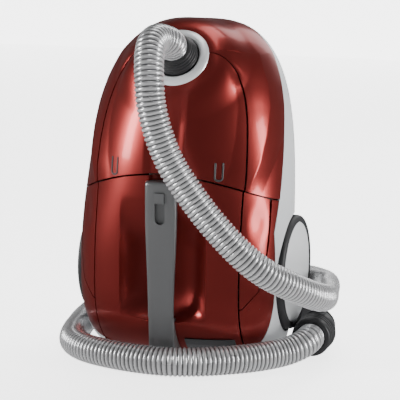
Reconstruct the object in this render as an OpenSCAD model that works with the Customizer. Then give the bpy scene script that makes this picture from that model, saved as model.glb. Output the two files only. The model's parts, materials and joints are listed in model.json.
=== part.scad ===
// Canister vacuum cleaner, standing on its rear end with the nose up.
// +Z runs from the rear end to the nose, -Y is the top side with the lid and the handle,
// +Y is the underside with the caster. The origin is on the standing plane, under the middle.

/* [Casing] */
// Height of the body from its rear feet to the nose
body_h = 425; // [355:1:510]
// Width of the casing at its widest
body_w = 266; // [250:1:320]
// Depth from the middle plane to the crest of the top side
crest_depth = 103; // [98:1:112]
// Depth from the middle plane to the flat underside
base_depth = 86; // [84:1:104]
// Wall thickness of the casing
wall = 2.6; // [2:0.1:3.2]
// Gap at the seams between casing pieces
seam = 1.6; // [1.4:0.1:2]
// Height of the rubber feet on the rear end
foot_h = 3; // [2:0.5:5]

/* [Lid] */
// Half width of the lid and of the cover under it
lid_x = 94; // [90:1:98]
// Height of the lid's lower edge at the middle
lid_z = 244; // [240:1:248]
// Opening angle that the lid arms leave room for
lid_open = 45; // [30:1:45]
// Gap under the lower edge of the lid
lid_gap = 2.2; // [2.2:0.1:3]

/* [Inlet and hose] */
// Radius of the silver inlet ring
ring_r = 41; // [37:0.5:41]
// Radius of the black connector
cuff_r = 27.5; // [24:0.5:28]
// Outer radius of the hose
hose_r = 18; // [15:0.5:18]
// Wall of the hose
hose_wall = 2.2; // [1.5:0.1:3]
// Tilt of the inlet axis above the horizontal
inlet_tilt = 37; // [34:1:40]

/* [Handle] */
// Width of the handle bar
handle_w = 36; // [30:1:38]
// How far the bar stands in front of the crest
handle_proud = 7; // [5:0.5:9]
// Thickness of the bar
handle_t = 12; // [10:0.5:13]
// Half width of the finger recess
recess_x = 57; // [52:1:60]
// Depth of the finger recess behind the crest
recess_depth = 33; // [28:1:34]
// Travel of the suction slider
slider_travel = 24; // [16:1:26]

/* [Wheels] */
// Outer radius of the large wheels
wheel_r = 73; // [64:1:73]
// Width of the tyres
wheel_w = 24; // [20:1:26]
// Radius of the wheel axles
axle_r = 6; // [5:0.5:7]
// Radius of the caster wheel
caster_r = 17; // [15:0.5:17]

/* [Inside] */
// Radius of the motor's stator
motor_r = 48; // [42:1:48]
// Radius of the fan
fan_r = 52; // [44:1:52]
// Radius of the cord reel's flanges
reel_r = 66; // [56:1:66]
// Height of the cord reel
reel_h = 50; // [40:1:50]
// Radial clearance of a running fit
fit = 0.06; // [0.03:0.01:0.09]

/* [Hidden] */
$fn = 48;
red = [0.55, 0.17, 0.13];
grey = [0.68, 0.68, 0.69];
dark = [0.12, 0.12, 0.13];
steel = [0.75, 0.75, 0.77];
slip = 0.4;        // gap round a piece that is set into another
big = 600;         // longer than anything here

// ---- outline of the casing ----
wide_z = 108;      // height of the widest section
round_z = 200;     // the crest rounds over to the nose above this height
nose_y = 49;       // depth of the nose tip behind the middle plane
low_y = -9;        // depth of the widest line low down
base_y = 13;       // depth of that line at the rear end
tuck_z = 100;      // the crest tucks under to the rear end below this height
around = 44;       // points round a section
levels = 24;       // sections from the rear end to the nose

function ease(t) = let (u = min(1, max(0, t))) u * u * (3 - 2 * u);
// quarter of a superellipse: 1 at t = 0, falling to 0 at t = 1
function quarter(t, p) = pow(max(0, 1 - pow(min(1, abs(t)), p)), 1 / p);
function half_w(z) = body_w / 2 * (z > wide_z ? quarter((z - wide_z) / (body_h - wide_z), 3.1)
                                              : quarter((wide_z - z) / 163, 2.9));
function mid_y(z) = z < tuck_z ? low_y + (base_y - low_y) * ease((tuck_z - z) / tuck_z)
    : low_y + (nose_y - low_y) * ease((z - 130) / (body_h - 130));
function crest_y(z) =
    z > round_z ? nose_y - (nose_y + crest_depth) * quarter((z - round_z) / (body_h - round_z), 2.3)
    : z < tuck_z ? base_y - (base_y + crest_depth) * quarter((tuck_z - z) / (tuck_z - 2), 2.4)
    : -crest_depth;
function back_y(z) =
    z > body_h - 95 ? nose_y + (base_depth - nose_y) * quarter((z - body_h + 95) / 95, 2)
    : z < 40 ? base_depth - 12 * (1 - quarter((40 - z) / 50, 2))
    : base_depth;
function front_power(z) = 2.4 - 0.4 * ease((z - 120) / 120);
function signed_pow(v, p) = sign(v) * pow(abs(v), p);
// one section at height z, moved in by inset and lying at height at
function section(z, inset, at) = [
    for (i = [0:around - 1])
        let (a = 360 * i / around, front = cos(a) > 0, power = front ? front_power(z) : 4,
             w = max(0.4, half_w(z) - inset),
             d = max(0.4, (front ? mid_y(z) - crest_y(z) : back_y(z) - mid_y(z)) - inset))
        [w * signed_pow(sin(a), 2 / power), mid_y(z) - d * signed_pow(cos(a), 2 / power), at]
];
// side walls and flat ends of a stack of rings
function stack_faces(rings, n) = concat(
    [[for (i = [0:n - 1]) i]],
    [[for (i = [n - 1:-1:0]) (rings - 1) * n + i]],
    [for (k = [0:rings - 2], i = [0:n - 1])
        let (j = (i + 1) % n, a = k * n) [a + i, a + n + i, a + n + j]],
    [for (k = [0:rings - 2], i = [0:n - 1])
        let (j = (i + 1) % n, a = k * n) [a + i, a + n + j, a + j]]
);

// the whole casing as one closed form, moved in by inset on every side
module body_form(inset = 0) {
    top_z = body_h - 0.1;
    span = top_z - foot_h;
    polyhedron(
        points = [for (k = [0:levels])
            let (z = foot_h + span * (1 - cos(180 * k / levels)) / 2,
                 at = foot_h + inset + (z - foot_h) * (span - 2 * inset) / span)
            each section(z, inset, at)],
        faces = stack_faces(levels + 1, around), convexity = 4);
}
module casing_skin() { difference() { body_form(0); body_form(wall); } }
// a panel of the casing, kept as one faceted skin
module panel() { resize([0, 0, 0]) children(); }
// outlines drawn as (y, z) and pulled along X, or as (x, z) and pulled along Y
module along_x(w) { rotate([90, 0, 90]) linear_extrude(w, center = true) children(); }
module along_y(d) { rotate([90, 0, 0]) linear_extrude(d, center = true) children(); }
module from_to(low, high) { translate(low) cube(high - low); }
module at_x(x, y, z) { translate([x, y, z]) rotate([0, 90, 0]) children(); }

// ---- seams between the casing pieces ----
split_y = -42;     // depth of the seam between top side and underside, low down
split_rise = 0.4;  // how fast that seam moves back above the wheels
function split(z) = min(62, max(split_y, split_y + split_rise * (z - 170)));
function seam_z(x) = lid_z - 19 * pow(x / lid_x, 2);
function arch_x(z) = lid_x * quarter(max(0, z - round_z) / (inlet_z + 4 - round_z), 3.6);

module top_side(gap) {
    along_x(big) polygon(concat([[-big, -10], [split(0) - gap, -10]],
        [for (z = [0:20:body_h + 20]) [split(z) - gap, z]], [[-big, body_h + 20]]));
}
module under_side(gap) {
    along_x(big) polygon(concat([[big, -10], [split(0) + gap, -10]],
        [for (z = [0:20:body_h + 20]) [split(z) + gap, z]], [[big, body_h + 20]]));
}
module below_seam(gap) {
    along_y(big) polygon(concat([[-200, -10], [200, -10]],
        [for (x = [200:-8:-200]) [x, seam_z(min(abs(x), 150)) - gap]]));
}
module lid_outline(grow, low) {
    along_y(big) polygon(concat(
        [for (x = [-1:0.125:1]) [x * (lid_x + grow), seam_z(x * lid_x) + low]],
        [for (t = [10:4:90]) let (z = round_z + (inlet_z + 4 - round_z) * sin(t))
            [arch_x(z) + grow, z + grow * sin(t)]],
        [for (t = [90:-4:10]) let (z = round_z + (inlet_z + 4 - round_z) * sin(t))
            [-arch_x(z) - grow, z + grow * sin(t)]]));
}
// the middle strip under the lid, out to the side panels
module middle(gap) { from_to([-lid_x - gap, -big, -10], [lid_x + gap, big, lid_z + 20]); }

// ---- inlet ----
inlet_z = body_h - 44;
inlet_y = -47;
spigot = 48;       // how deep the inlet tube reaches in
module at_inlet(d = 0) {
    translate([0, inlet_y, inlet_z]) rotate([90 - inlet_tilt, 0, 0]) translate([0, 0, d]) children();
}
module tube(r, bore, h) {
    difference() { cylinder(r = r, h = h); translate([0, 0, -1]) cylinder(r = bore, h = h + 2); }
}

// ---- handle and finger recess ----
recess_low = 62;
recess_high = 209;
recess_corner = 14;
recess_y = recess_depth - crest_depth;
bar_front = -crest_depth - handle_proud;
bar_back = bar_front + handle_t;
bar_low = 52;
bar_high = 232;
root_y = -84;      // how deep the roots of the bar go
slot_w = 13;
slot_low = bar_high - 49;
slot_high = bar_high - 9;
module recess_outline(grow) {
    w = recess_x - recess_corner;
    hull() for (x = [-w, w], z = [recess_low + recess_corner, recess_high - recess_corner])
        translate([x, z]) circle(recess_corner + grow);
}
module recess_form(grow, back) {
    intersection() {
        along_y(big) recess_outline(grow);
        from_to([-big, -big / 2, 0], [big, back, body_h]);
    }
}
// side view of the bar with its two roots, and the tail that runs down the rear end
function tail_front(z) = crest_y(z) - handle_proud * ease((z - 10) / 45);
module bar_side(grow) {
    polygon(concat(
        [for (z = [14:6:bar_low + 4]) [tail_front(z) - grow, z == 14 ? z - grow : z]],
        [for (a = [0:15:90]) [bar_front + 12 - (12 + grow) * cos(a), bar_high - 12 + (12 + grow) * sin(a)]],
        [[root_y + grow, bar_high + grow], [root_y + grow, recess_high + wall + 20],
         [bar_back + 4, recess_high - 3], [bar_back, recess_high - 9], [bar_back, recess_low + 10],
         [bar_back + 4, recess_low + 2], [crest_y(56) + 11 + grow, 56], [crest_y(44) + 10 + grow, 44]],
        [for (z = [32:-6:14]) [crest_y(z) + 9 + grow, z == 14 ? z - grow : z]]));
}

// ---- pedals ----
pedal_pin = [-62, 94];  // depth and height of the pedal axes
pedal_angle = 3;
pedal_in = lid_x + 1;
function pedal_y(z) = -39 + 0.234 * (z - 217);
function pedal_slot(z) = seam + max(0, z - pedal_pin[1]) * tan(pedal_angle) * 1.1;
module pedal_zone(grow, back) {
    intersection() {
        along_y(big) offset(delta = grow)
            polygon([[pedal_in, 78], [pedal_in + 28, 112], [200, 112], [200, body_h], [pedal_in, body_h]]);
        below_seam(seam / 2 - grow);
        along_x(big) polygon([[-big, 0], [pedal_y(60) + back * pedal_slot(60) / 2, 0],
            [pedal_y(60) + back * pedal_slot(60) / 2, 60],
            [pedal_y(250) + back * pedal_slot(250) / 2, 250], [-big, 250]]);
    }
}

// ---- wheels ----
wheel_y = 36.5;
wheel_z = wheel_r + 33;
wheel_x = body_w / 2 - 20;      // inner side of the tyre
well_x = wheel_x - 5;           // inner wall of the wheel well
well_r = wheel_r + 3.5;
well_wall = 2;
caster_z = 318;
trail = 12;
caster_pocket = 30;

// ---- inside ----
shell_gap = 9;      // distance of the dust compartment from the casing
bin_wall = 2.4;
bin_low = 205;
bin_front = -56;
bin_back = 58;
motor_y = 9;
motor_low = 84;
motor_top = 196;
case_r = 66;
shaft_r = 4;
reel_y = 10;
reel_low = 20;
spindle_r = 8;
brake_at = [80, 55];

// ---- lid hinge ----
hinge_y = 15 - crest_depth;
hinge_z = 219;
hinge_r = 2.5;
barrel_r = 4.4;
arm_x = [27, 35];   // inner and outer side of an arm

// ================= casing =================
module lower_housing() {
    color(grey) panel() difference() {
        intersection() { casing_skin(); under_side(seam / 2); }
        for (s = [-1, 1]) at_x(s * (well_x + 46) - 50, wheel_y, wheel_z)
            cylinder(r = well_r + well_wall + slip, h = 100);
        translate([0, 60, caster_z]) rotate([-90, 0, 0]) cylinder(r = caster_pocket + 3 + slip, h = 60);
        from_to([-grille_x - slip, 60, grille_low - slip], [grille_x + slip, 100, grille_high + slip]);
        translate([outlet_x, outlet_y, -5]) cylinder(r = 9 + slip, h = 30);
    }
}

module upper_frame() {
    color(red) panel() difference() {
        intersection() { casing_skin(); top_side(seam / 2); }
        below_seam(-seam / 2);
        lid_outline(seam, -30);
        at_inlet(-60) cylinder(r = ring_r + seam, h = 160);
    }
}

module rear_cover() {
    color(red) panel() difference() {
        intersection() {
            difference() {
                body_form(0);
                difference() { body_form(wall); recess_form(wall, recess_y + wall); }
                recess_form(0, recess_y);
            }
            top_side(seam / 2);
            below_seam(lid_gap / 2);
            middle(-seam / 2);
        }
        along_x(handle_w + 2 * slip) bar_side(slip);
    }
}

module side_panel(s) {
    color(red) panel() difference() {
        intersection() { casing_skin(); top_side(seam / 2); below_seam(seam / 2); }
        middle(seam / 2);
        from_to(s > 0 ? [-big, -big, -1] : [0, -big, -1], s > 0 ? [0, big, big] : [big, big, big]);
        mirror([s > 0 ? 0 : 1, 0, 0]) pedal_zone(seam, 1);
    }
}
module side_panel_left() side_panel(-1);
module side_panel_right() side_panel(1);

module handle() {
    color([0.45, 0.45, 0.46]) difference() {
        intersection() {
            along_x(handle_w) bar_side(0);
            // round the long edges of the bar
            translate([0, 0, -1]) linear_extrude(body_h) hull() for (s = [-1, 1]) {
                translate([s * (handle_w / 2 - 6), bar_front + 6]) circle(6);
                translate([s * (handle_w / 2 - 1), 0]) circle(1);
            }
        }
        from_to([-slot_w / 2, bar_front - 5, slot_low], [slot_w / 2, bar_front + 5, slot_high]);
        from_to([-6, bar_front + 5 - 1, slot_low + 8], [6, bar_back - 3, slot_high - 8]);
    }
}

module suction_slider() {
    color([0.5, 0.5, 0.51]) from_to(
        [-slot_w / 2 + slip, bar_front - 2, slot_high - 13],
        [slot_w / 2 - slip, bar_front + 4.4, slot_high - slip]);
}

module parking_clip() {
    color(dark) panel() intersection() {
        difference() { body_form(-1.6); body_form(-0.02); }
        from_to([26, -big, 18], [lid_x - 8, split_y - 20, 38]);
    }
}

module rear_feet() {
    color(dark) difference() {
        for (s = [-1, 1]) {
            translate([s * 46, -30, 0]) cylinder(r = 9, h = 20);
            translate([s * 62, 56, 0]) cylinder(r = 9, h = 8);
        }
        body_form(0);
    }
}

// ================= underside =================
grille_x = 46;
grille_low = 92;
grille_high = 162;
outlet_x = 30;
outlet_y = 66;
module cord_outlet() {
    color(dark) translate([outlet_x, outlet_y, 1]) difference() {
        union() {
            cylinder(r = 9, h = foot_h + wall + 3);
            translate([0, 0, foot_h + wall - 0.9]) cylinder(r = 11, h = 3);
        }
        translate([0, 0, -1]) cylinder(r = 5, h = 30);
    }
}

module exhaust_grille() {
    color(dark) difference() {
        from_to([-grille_x, base_depth - 3, grille_low], [grille_x, base_depth + 1.5, grille_high]);
        for (z = [grille_low + 7:8:grille_high - 9])
            from_to([6 - grille_x, 0, z], [grille_x - 6, 200, z + 4]);
    }
}
module exhaust_filter() {
    color("white") from_to([4 - grille_x, base_depth - 8, grille_low + 4],
        [grille_x - 4, base_depth - 3, grille_high - 4]);
}

module wheel_wells() {
    color(dark) for (s = [0, 1]) mirror([s, 0, 0]) panel() intersection() {
        body_form(0);
        at_x(well_x - 3, wheel_y, wheel_z) difference() {
            cylinder(r = well_r + well_wall, h = 60);
            translate([0, 0, 3]) cylinder(r = well_r, h = 60);
        }
    }
}
module wheel_axles() {
    color(steel) for (s = [0, 1]) mirror([s, 0, 0]) {
        at_x(well_x, wheel_y, wheel_z) cylinder(r = axle_r, h = wheel_w + 1);
        at_x(well_x - 7, wheel_y, wheel_z) cylinder(r = axle_r + 6, h = 4);
    }
}
// half section of a wheel, radius against width
module rim_section() {
    translate([axle_r + fit, -1]) square([8, wheel_w - 3]);
    translate([axle_r + fit + 7, 6]) square([wheel_r - axle_r - 20, 4]);
    translate([wheel_r - 14, 1]) square([6, wheel_w - 5]);
}
module wheel(s) {
    color(grey) mirror([s, 0, 0]) at_x(wheel_x, wheel_y, wheel_z) rotate_extrude() rim_section();
}
module tyre(s) {
    color(dark) mirror([s, 0, 0]) at_x(wheel_x, wheel_y, wheel_z) rotate_extrude() difference() {
        union() {
            translate([wheel_r - 8, 0]) square([4, wheel_w]);
            translate([wheel_r - 5, 4]) square([5, wheel_w - 8]);
            for (y = [4, wheel_w - 4]) translate([wheel_r - 4, y]) circle(4);
        }
        translate([wheel_r - 16, -1]) square([8, wheel_w + 2]);
    }
}
module hub_cap(s) {
    color([0.78, 0.78, 0.78]) mirror([s, 0, 0]) at_x(wheel_x + wheel_w - 3, wheel_y, wheel_z)
        rotate_extrude() polygon([[0, 0], [wheel_r - 8.5, 0], [wheel_r - 8.5, 0.8], [wheel_r - 13, 2],
            [30, 2.7], [0, 2.9]]);
}
module wheel_left() wheel(1);
module wheel_right() wheel(0);
module tyre_left() tyre(1);
module tyre_right() tyre(0);
module hub_cap_left() hub_cap(1);
module hub_cap_right() hub_cap(0);

module caster_socket() {
    color(dark) translate([0, base_depth - 24, caster_z]) rotate([-90, 0, 0]) difference() {
        cylinder(r = caster_pocket + 3, h = 24);
        translate([0, 0, 8]) cylinder(r = caster_pocket, h = 40);
        translate([0, 0, -1]) cylinder(r = 5 + fit, h = 20);
    }
}
module caster_fork() {
    color(grey) difference() {
        union() {
            translate([0, base_depth - 15.5, caster_z]) rotate([-90, 0, 0])
                cylinder(r = caster_pocket - 2, h = 4);
            translate([0, base_depth - 23, caster_z]) rotate([-90, 0, 0]) cylinder(r = 5, h = 9);
            for (s = [-1, 1]) translate([s * 12.5, 0, 0])
                from_to([-2, base_depth - 13, caster_z - trail - 6], [2, caster_y + 6, caster_z - trail + 6]);
            at_x(-13, caster_y, caster_z - trail) cylinder(r = 3, h = 26);
        }
    }
}
caster_y = base_depth + 24 - caster_r;
module caster_wheel() {
    color(dark) at_x(-9, caster_y, caster_z - trail) difference() {
        rotate_extrude() difference() {
            union() {
                translate([0, 0]) square([caster_r - 3, 18]);
                translate([caster_r - 4, 3]) square([4, 12]);
                for (y = [3, 15]) translate([caster_r - 3, y]) circle(3);
            }
            translate([-5, -5]) square([5, 30]);
        }
        translate([0, 0, -1]) cylinder(r = 3 + fit, h = 30);
    }
}

// ================= dust bag =================
// the space inside the compartment, in front of its back wall and behind the inlet
module bin_space(front, back, low, high) {
    along_x(big) polygon([[front, low], [front, inlet_z - 45.3 + high],
        [inlet_y + 16 - 0.6018 * 60, inlet_z - 12 - 0.7986 * 60 + high],
        [inlet_y + 16 + 0.6018 * 60, inlet_z - 12 + 0.7986 * 60 + high],
        [back, inlet_z + 36 + high], [back, low]]);
}
module dust_compartment() {
    color([0.3, 0.3, 0.31]) panel() difference() {
        intersection() { body_form(shell_gap); bin_space(bin_front, bin_back + bin_wall, bin_low, 0); }
        intersection() {
            body_form(shell_gap + bin_wall);
            bin_space(bin_front - 20, bin_back, bin_low + bin_wall, 30);
        }
        for (x = [-45:15:45]) from_to([x - 4, -30, bin_low - 1], [x + 4, 44, bin_low + 10]);
    }
}
module bag_holder() {
    color([0.2, 0.3, 0.5]) panel() difference() {
        intersection() {
            at_inlet(-46) from_to([-big, -38, -0], [big, 26, 3]);
            body_form(shell_gap + bin_wall + 0.05);
        }
        at_inlet(-60) cylinder(r = 25, h = 40);
    }
}
module bag_collar() {
    color([0.72, 0.6, 0.42]) at_inlet(-49) difference() {
        from_to([-36, -32, 0], [36, 24, 2.8]);
        translate([0, 0, -1]) cylinder(r = 23, h = 10);
    }
}
module dust_bag() {
    color([0.85, 0.83, 0.78]) panel() difference() {
        intersection() {
            body_form(shell_gap + bin_wall + 5);
            along_x(148) polygon([[-50, 216], [-50, inlet_z - 61], [-45, inlet_z - 54],
                [10, inlet_z + 12], [51, inlet_z], [51, 216]]);
            at_inlet(-249.3) translate([-big / 2, -big / 2, 0]) cube([big, big, 200]);
        }
    }
}
module motor_filter() {
    color([0.2, 0.2, 0.22]) from_to([-56, -36, bin_low - 6], [56, 50, bin_low - 0.5]);
}

// ================= motor =================
module at_motor(z) { translate([0, motor_y, z]) children(); }
module motor_housing() {
    color([0.35, 0.35, 0.36]) difference() {
        at_motor(motor_low) difference() {
            cylinder(r = case_r, h = motor_top - motor_low);
            translate([0, 0, 2.4]) cylinder(r = case_r - 2.4, h = 200);
        }
        from_to([-30, 60, grille_low + 8], [30, 90, grille_high - 8]);
    }
}
module motor_mounts() {
    color(dark) {
        at_motor(motor_low + 2.4) tube(motor_r - 8, shaft_r + 8, 6);
        at_motor(motor_top - 10) tube(case_r - 2.4, fan_r + 6, 6);
    }
}
module motor_stator() {
    color(steel) at_motor(motor_low + 8.4) difference() {
        cylinder(r = motor_r, h = 58);
        translate([0, 0, -1]) cylinder(r = shaft_r + 2, h = 80);
        for (z = [-1, 52]) translate([0, 0, z]) cylinder(r = 11, h = 7);
    }
}
module motor_bearings() {
    color(steel) for (z = [motor_low + 8.4, motor_low + 60.4]) at_motor(z) tube(11, shaft_r + fit, 6);
}
module fan_shroud() {
    color([0.6, 0.6, 0.62]) at_motor(motor_low + 66.4) difference() {
        cylinder(r = fan_r + 6, h = 40);
        translate([0, 0, 3]) cylinder(r = fan_r + 3, h = 34);
        translate([0, 0, -1]) cylinder(r = 14, h = 6);
        translate([0, 0, 36]) cylinder(r = 20, h = 6);
    }
}
module fan() {
    color("silver") at_motor(motor_low + 5) {
        cylinder(r = shaft_r, h = 90);
        translate([0, 0, 67]) difference() {
            cylinder(r = fan_r, h = 3);
            translate([0, 0, -1]) cylinder(r = shaft_r, h = 9);
        }
        for (a = [0:40:320]) rotate(a) translate([14, -1, 70]) cube([fan_r - 16, 2, 16]);
        translate([0, 0, 86]) tube(fan_r, 20, 3);
    }
}

// ================= cord reel =================
module at_reel(z) { translate([0, reel_y, z]) children(); }
module reel_bracket() {
    color([0.35, 0.35, 0.36]) at_reel(foot_h + wall + 3) difference() {
        cylinder(r = 34, h = 3.5);
        translate([0, 0, -1]) cylinder(r = spindle_r, h = 9);
    }
}
module reel_axle() {
    color(steel) at_reel(foot_h + wall) cylinder(r = spindle_r, h = reel_h + 20);
}
module reel_spring_case() {
    color(steel) at_reel(foot_h + wall + 6.5) difference() {
        cylinder(r = 36, h = 7);
        translate([0, 0, 1.2]) cylinder(r = 34.8, h = 9);
        translate([0, 0, -1]) cylinder(r = spindle_r, h = 9);
    }
}
module reel_drum() {
    color([0.25, 0.25, 0.26]) at_reel(reel_low) difference() {
        union() {
            cylinder(r = reel_r, h = 2.5);
            cylinder(r = 30, h = reel_h);
            translate([0, 0, reel_h - 2.5]) cylinder(r = reel_r, h = 2.5);
        }
        translate([0, 0, -1]) cylinder(r = spindle_r + fit, h = reel_h + 2);
        for (a = [0:60:300]) rotate(a) translate([48, 0, -1]) cylinder(r = 9, h = reel_h + 2);
    }
}
module brake_pin() {
    color(steel) translate([brake_at[0], brake_at[1], foot_h + wall]) cylinder(r = 3, h = 68);
}
module brake_lever() {
    reach = [reel_r + 5.8, 10];
    color([0.6, 0.2, 0.15]) difference() {
        translate([0, 0, reel_low + reel_h - 9]) linear_extrude(8) hull() {
            translate(brake_at) circle(7);
            translate([reach[0] * cos(reach[1]), reel_y + reach[0] * sin(reach[1])]) circle(5);
        }
        translate([brake_at[0], brake_at[1], 0]) cylinder(r = 3 + fit, h = 100);
    }
}

// ================= controls =================
module control_board() {
    color([0.1, 0.35, 0.2]) {
        from_to([70, -20, 120], [71.6, 50, 180]);
        from_to([71.6, -5, 130], [84, 15, 150]);
        from_to([71.6, 25, 155], [80, 40, 170]);
    }
}
module power_switch() {
    color(dark) {
        from_to([-92, -40, 150], [-74, -22, 172]);
        from_to([-84, -44, 158], [-80, -40, 164]);
    }
}
module pedal_pivots() {
    color([0.35, 0.35, 0.36]) for (s = [0, 1]) mirror([s, 0, 0]) {
        from_to([recess_x + wall, pedal_pin[0] - 8, pedal_pin[1] - 6],
            [lid_x - 4, pedal_pin[0] - 4, pedal_pin[1] + 6]);
        from_to([lid_x - 4, pedal_pin[0] - 8, pedal_pin[1] - 6], [lid_x, pedal_pin[0] + 5, pedal_pin[1] + 6]);
        at_x(lid_x, pedal_pin[0], pedal_pin[1]) cylinder(r = 2.5, h = 14);
    }
}
module pedal(s) {
    // barrel on the pin and a rib that carries the plate
    color(red) difference() {
        union() {
            mirror([s, 0, 0]) panel() intersection() {
                casing_skin();
                top_side(seam / 2);
                pedal_zone(-seam, -1);
            }
            mirror([s, 0, 0]) panel() intersection() {
                body_form(wall - 0.6);
                from_to([pedal_in + 4, -big, pedal_pin[1] + 1],
                    [pedal_in + 8, pedal_pin[0] + 2, pedal_pin[1] + 40]);
            }
            mirror([s, 0, 0]) at_x(pedal_in + 2, pedal_pin[0], pedal_pin[1]) cylinder(r = 4.5, h = 10);
        }
        at_x(-big / 2, pedal_pin[0], pedal_pin[1]) cylinder(r = 2.5 + fit, h = big);
    }
}
module power_pedal() pedal(1);
module rewind_pedal() pedal(0);

// ================= lid =================
module hinge_brackets() {
    color([0.35, 0.35, 0.36]) difference() {
        for (s = [0, 1]) mirror([s, 0, 0]) {
            from_to([arm_x[0] - 4, hinge_y - 4, recess_high + wall],
                [arm_x[1] + 4, hinge_y + 14, recess_high + wall + 2.2]);
            for (x = [arm_x[0] - 4, arm_x[1] + 1])
                from_to([x, hinge_y - 4, recess_high + wall + 2], [x + 3, hinge_y + 10, hinge_z + 4.5]);
        }
        at_x(-60, hinge_y, hinge_z) cylinder(r = hinge_r, h = 120);
    }
}
module hinge_pins() {
    color(steel) for (s = [0, 1]) mirror([s, 0, 0])
        at_x(arm_x[0] - 5, hinge_y, hinge_z) cylinder(r = hinge_r, h = arm_x[1] - arm_x[0] + 10);
}
// goose-neck arm that carries the lid round the edge of the cover
module lid_arms() {
    bend = [[0, 0], [15, 13], [12, 32], [-1, 37]];
    color(red) difference() {
        for (s = [0, 1]) mirror([s, 0, 0]) translate([arm_x[0], hinge_y, hinge_z]) rotate([90, 0, 90])
            linear_extrude(arm_x[1] - arm_x[0]) {
                circle(barrel_r);
                for (i = [0:2]) hull() {
                    translate(bend[i]) circle(2.2);
                    translate(bend[i + 1]) circle(2.2);
                }
            }
        at_x(-60, hinge_y, hinge_z) cylinder(r = hinge_r + fit, h = 120);
    }
}
module lid() {
    color(red) panel() difference() {
        intersection() { casing_skin(); top_side(seam / 2); lid_outline(0, lid_gap / 2); }
        at_inlet(-60) cylinder(r = ring_r + slip, h = 160);
    }
}
module inlet_ring() {
    color(steel) at_inlet() rotate_extrude() difference() {
        hull() {
            translate([cuff_r + 3.5, 3]) circle(2.5);
            translate([ring_r - 2.5, 3]) circle(2.5);
            translate([cuff_r + 1, -14]) square([ring_r - cuff_r - 5.4, 1]);
        }
        translate([0, -20]) square([cuff_r + 1, 40]);
    }
}
module inlet_socket() {
    color([0.35, 0.35, 0.36]) at_inlet() {
        translate([0, 0, -17]) tube(ring_r - 4.4, cuff_r - 8, 3);
        translate([0, 0, -spigot]) tube(cuff_r - 6, cuff_r - 8, spigot - 17);
    }
}
module inlet_seal() {
    color(dark) at_inlet(-14) tube(cuff_r + 0.6, cuff_r - 4, 2.5);
}
module hose_connector() {
    color(dark) at_inlet() {
        translate([0, 0, -11]) difference() {
            cylinder(r = cuff_r - 0.3, h = 19);
            translate([0, 0, -1]) cylinder(r = hose_r - hose_wall, h = 40);
        }
        translate([0, 0, 8]) tube(cuff_r, hose_r - hose_wall, 7.6);
        translate([0, 0, 15.6]) difference() {
            cylinder(r1 = cuff_r, r2 = hose_r + 4, h = 7);
            translate([0, 0, -1]) cylinder(r = hose_r + slip, h = 20);
        }
    }
}
module lid_latch() {
    color(dark) from_to([-5, -83.5, 296], [5, -77, 314]);
}

// ================= hose =================
// centre line of the hose, from the connector round to the far cuff
hose_route = [
    [0, -60, 391], [0, -76, 403], [-8, -97, 409], [-9, -119, 403], [-6, -135, 387],
    [-2, -145, 364], [2, -149, 335], [12, -149, 299], [27, -147, 265], [51, -144, 229],
    [79, -140, 194], [110, -133, 161], [137, -118, 136], [160, -90, 117], [178, -52, 99],
    [183, -14, 88], [177, 22, 83], [168, 60, 79], [154, 112, 77], [104, 148, 73],
    [20, 160, 56], [-70, 152, 34], [-130, 126, 22], [-156, 88, 18.5], [-155, 45, 18.5],
    [-148, 5, 18.5], [-139, -38, 18.5], [-124, -76, 18.5], [-94, -104, 18.5], [-45, -122, 18.5],
    [10, -128, 18.5], [50, -117, 18.5], [87, -94, 18.5], [116, -68, 18.5], [141, -42, 20.5],
    [157, -25, 25.5], [164, -11, 30], [164, 4.6, 30]
];
upper_end = 7;      // the lid carries the hose down to this point
bend_end = 11;      // the hose lies still beyond this point
hose_sides = 10;
tube_gap = 0.02;    // gap between two lengths of the hose
steps = 2;          // rings for each stretch between two points
function along(a, b, c, d, t) = 0.5 * (2 * b + (c - a) * t + (2 * a - 5 * b + 4 * c - d) * t * t
    + (3 * b - a - 3 * c + d) * t * t * t);
function route_at(k, t) = let (p = hose_route, n = len(p) - 1)
    along(k > 0 ? p[k - 1] : 2 * p[0] - p[1], p[k], p[min(n, k + 1)],
          k + 2 <= n ? p[k + 2] : 2 * p[n] - p[n - 1], t);
function stretch(from, to) = concat(
    [for (k = [from:to - 1], i = [0:steps - 1]) route_at(k, i / steps)], [hose_route[to]]);
function unit(v) = v / norm(v);
function tangent(k, t) = unit(t >= 1 ? route_at(k, 1) - route_at(k, 0.98)
    : route_at(k, t + 0.02) - route_at(k, t));
function tangents(from, to) = concat(
    [for (k = [from:to - 1], i = [0:steps - 1]) tangent(k, i / steps)],
    [to < len(hose_route) - 1 ? tangent(to, 0) : tangent(to - 1, 1)]);
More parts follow.
